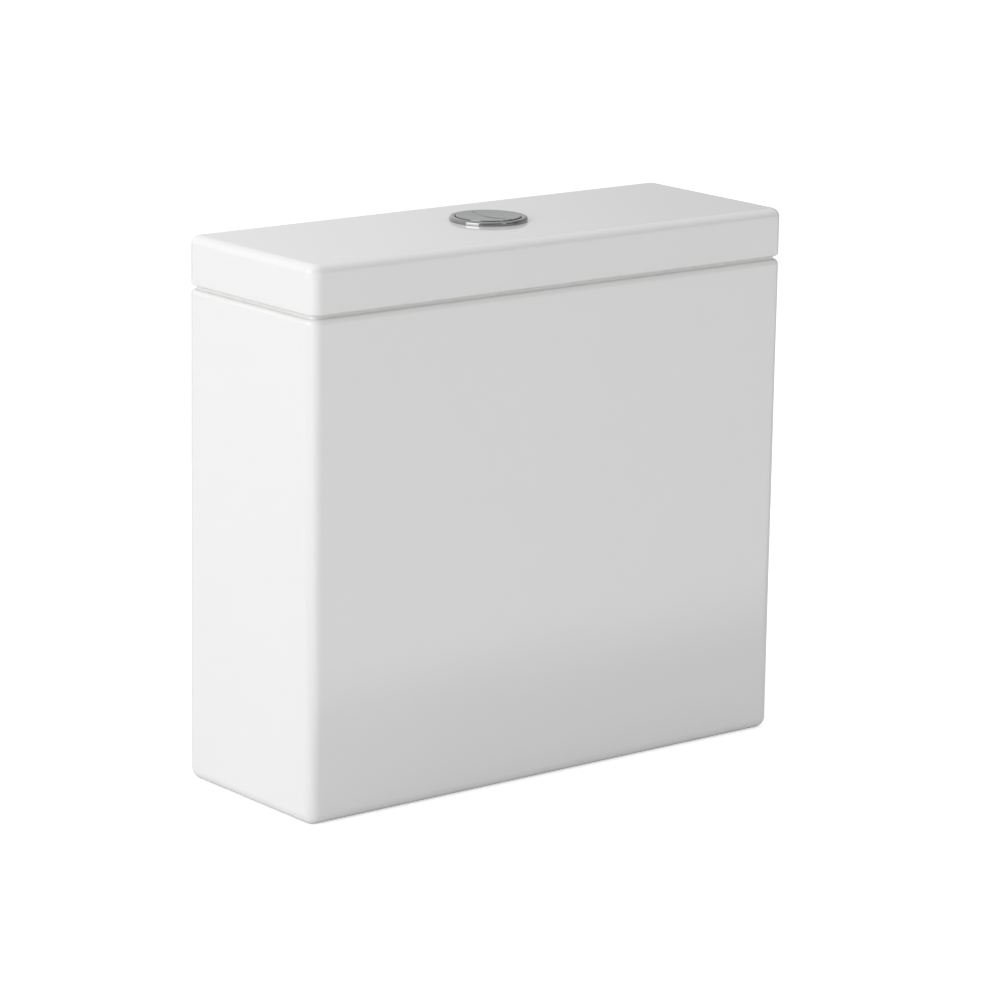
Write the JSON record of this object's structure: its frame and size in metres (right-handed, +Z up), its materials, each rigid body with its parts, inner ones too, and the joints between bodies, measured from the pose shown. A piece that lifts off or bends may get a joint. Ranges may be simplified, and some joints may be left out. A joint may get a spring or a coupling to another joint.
{
  "type": "toilet cistern",
  "caption": "Close-coupled toilet cistern with lift-off lid, split push button, dual flush valve and bottom inlet fill valve.",
  "frame": {"origin": "middle of the footprint, on the plane that the tank's skirt stands on", "axes": "+X along the width, the front faces -Y, +Z up"},
  "size_m": [0.4, 0.14, 0.3734],
  "materials": {
    "glazed_china": "glossy white glaze over vitreous china",
    "chrome": "polished chrome plating on plastic",
    "white_plastic": "moulded white plastic, light satin",
    "natural_plastic": "unpigmented moulded plastic, slightly milky",
    "grey_plastic": "moulded grey plastic",
    "blue_plastic": "moulded blue plastic",
    "green_plastic": "moulded green plastic",
    "black_rubber": "moulded black rubber",
    "gasket_rubber": "soft cellular black rubber",
    "red_silicone": "translucent red silicone rubber",
    "stainless_steel": "bright drawn stainless steel"
  },
  "bodies": {
    "cistern": {"cistern_body": "glazed_china", "valve_base": "white_plastic", "base_washer": "black_rubber", "flush_back_nut": "grey_plastic", "pan_gasket": "gasket_rubber", "valve_cage": "white_plastic", "valve_head": "white_plastic", "lever_pins": "stainless_steel", "fill_riser": "white_plastic", "fill_washer": "black_rubber", "fill_back_nut": "grey_plastic", "inlet_filter": "grey_plastic", "fill_head": "white_plastic", "fill_diaphragm": "red_silicone", "fill_cap": "white_plastic", "arm_pin": "stainless_steel"},
    "lid": {"cistern_lid": "glazed_china", "button_bezel": "chrome", "bezel_nut": "grey_plastic", "button_housing": "white_plastic", "full_return_spring": "stainless_steel", "half_return_spring": "stainless_steel"},
    "full_button": {"full_flush_button": "chrome", "full_push_rod": "natural_plastic"},
    "half_button": {"half_flush_button": "chrome", "half_push_rod": "natural_plastic"},
    "full_lever": {"full_lever": "blue_plastic"},
    "half_lever": {"half_lever": "green_plastic"},
    "flush_stem": {"overflow_tube": "white_plastic", "seal_washer": "red_silicone", "seal_retainer": "white_plastic", "flush_float": "blue_plastic", "lift_yoke": "blue_plastic"},
    "half_link": {"half_flush_link": "natural_plastic", "half_flush_float": "green_plastic"},
    "fill_float": {"fill_float": "grey_plastic", "adjusting_rod": "natural_plastic", "adjuster_knob": "green_plastic"},
    "float_arm": {"float_arm": "green_plastic", "pilot_seal": "red_silicone"}
  },
  "joints": [
    {"name": "lid_lift", "type": "slide", "parent": "cistern", "child": "lid", "axis": [0, 0, 1], "range_m": [0, 0.12]},
    {"name": "full_button_press", "type": "slide", "parent": "lid", "child": "full_button", "axis": [0, 0, -1], "range_m": [0, 0.007], "stiffness_N_per_m": 500, "springref_m": -0.004, "deforming": ["full_return_spring"]},
    {"name": "half_button_press", "type": "slide", "parent": "lid", "child": "half_button", "axis": [0, 0, -1], "range_m": [0, 0.007], "stiffness_N_per_m": 500, "springref_m": -0.004, "deforming": ["half_return_spring"]},
    {"name": "full_lever_turn", "type": "hinge", "parent": "cistern", "child": "full_lever", "pos_m": [0.027, 0.0045, 0.278], "axis": [0, -1, 0], "range_deg": [0, 30.5]},
    {"name": "half_lever_turn", "type": "hinge", "parent": "cistern", "child": "half_lever", "pos_m": [-0.027, 0.0045, 0.278], "axis": [0, 1, 0], "range_deg": [0, 30.5]},
    {"name": "flush_stem_lift", "type": "slide", "parent": "cistern", "child": "flush_stem", "axis": [0, 0, 1], "range_m": [0, 0.00891]},
    {"name": "half_link_lift", "type": "slide", "parent": "cistern", "child": "half_link", "axis": [0, 0, 1], "range_m": [0, 0.00891]},
    {"name": "fill_float_drop", "type": "slide", "parent": "cistern", "child": "fill_float", "axis": [0, 0, -1], "range_m": [0, 0.01]},
    {"name": "float_arm_turn", "type": "hinge", "parent": "cistern", "child": "float_arm", "pos_m": [-0.138, 0, 0.3005], "axis": [0, 1, 0], "range_deg": [0, 26.8]}
  ],
  "couplings": [
    {"joint": "full_lever_turn", "follows": "full_button_press", "rad_per_m": 74.8},
    {"joint": "flush_stem_lift", "follows": "full_button_press", "ratio": 1.2714},
    {"joint": "half_lever_turn", "follows": "half_button_press", "rad_per_m": 74.8},
    {"joint": "half_link_lift", "follows": "half_button_press", "ratio": 1.2714},
    {"joint": "float_arm_turn", "follows": "fill_float_drop", "rad_per_m": 46}
  ]
}
